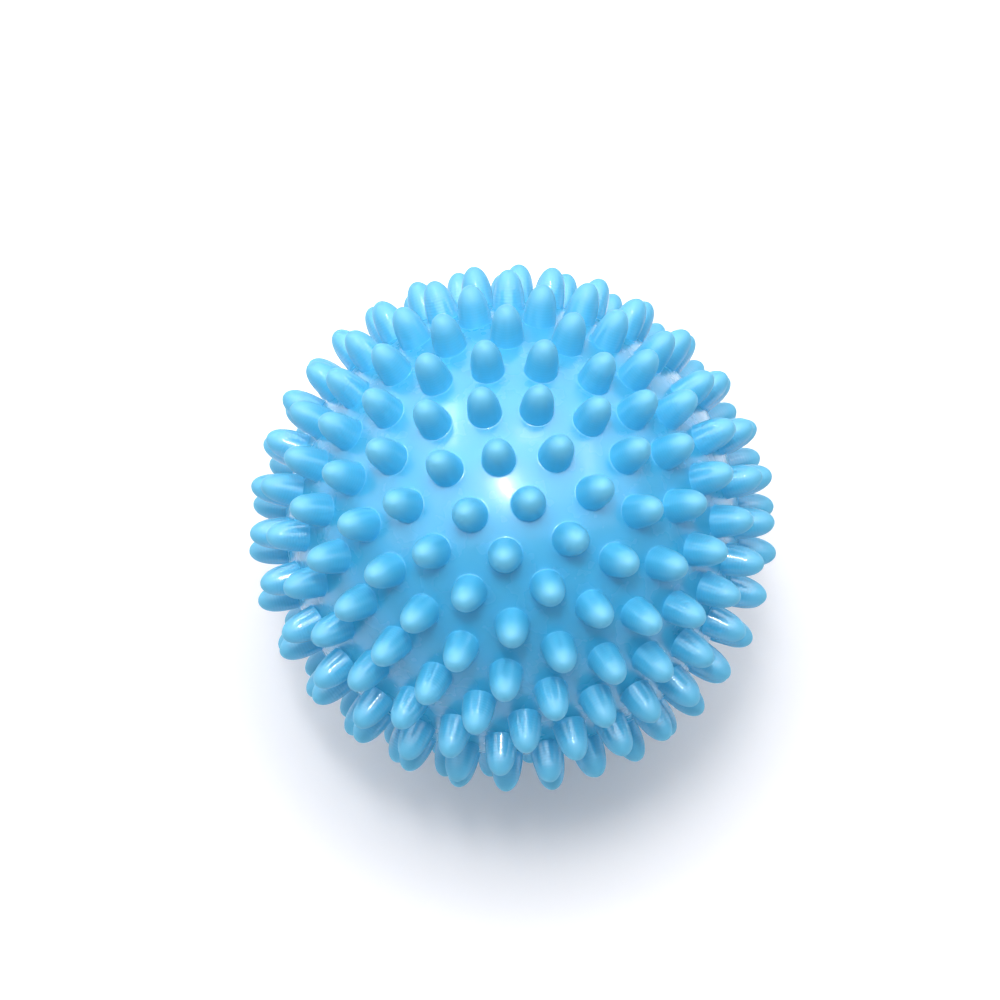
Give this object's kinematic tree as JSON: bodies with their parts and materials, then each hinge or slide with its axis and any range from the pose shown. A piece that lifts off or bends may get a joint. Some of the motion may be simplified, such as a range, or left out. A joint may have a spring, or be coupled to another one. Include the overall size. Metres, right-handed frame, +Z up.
{
  "type": "anti-tangle laundry ball",
  "caption": "Hollow soft plastic ball with blunt radial spikes all over, moulded in two half shells with a plugged vent, for keeping laundry apart in a washer or dryer.",
  "frame": {"origin": "on the floor, straight below the ball's centre; the ball rests on the flat ends of its resting spikes at z = 0", "axes": "+Z up, away from the floor; the front view looks along +Y, and +X is to its right"},
  "size_m": [0.0698, 0.07, 0.0695],
  "materials": {
    "shell_pvc": "satin moulded soft PVC, sky blue",
    "plug_pvc": "satin moulded soft PVC, slightly darker blue"
  },
  "bodies": {
    "root": {"upper_half_shell": "shell_pvc", "lower_half_shell": "shell_pvc", "air_plug": "plug_pvc"}
  },
  "joints": []
}
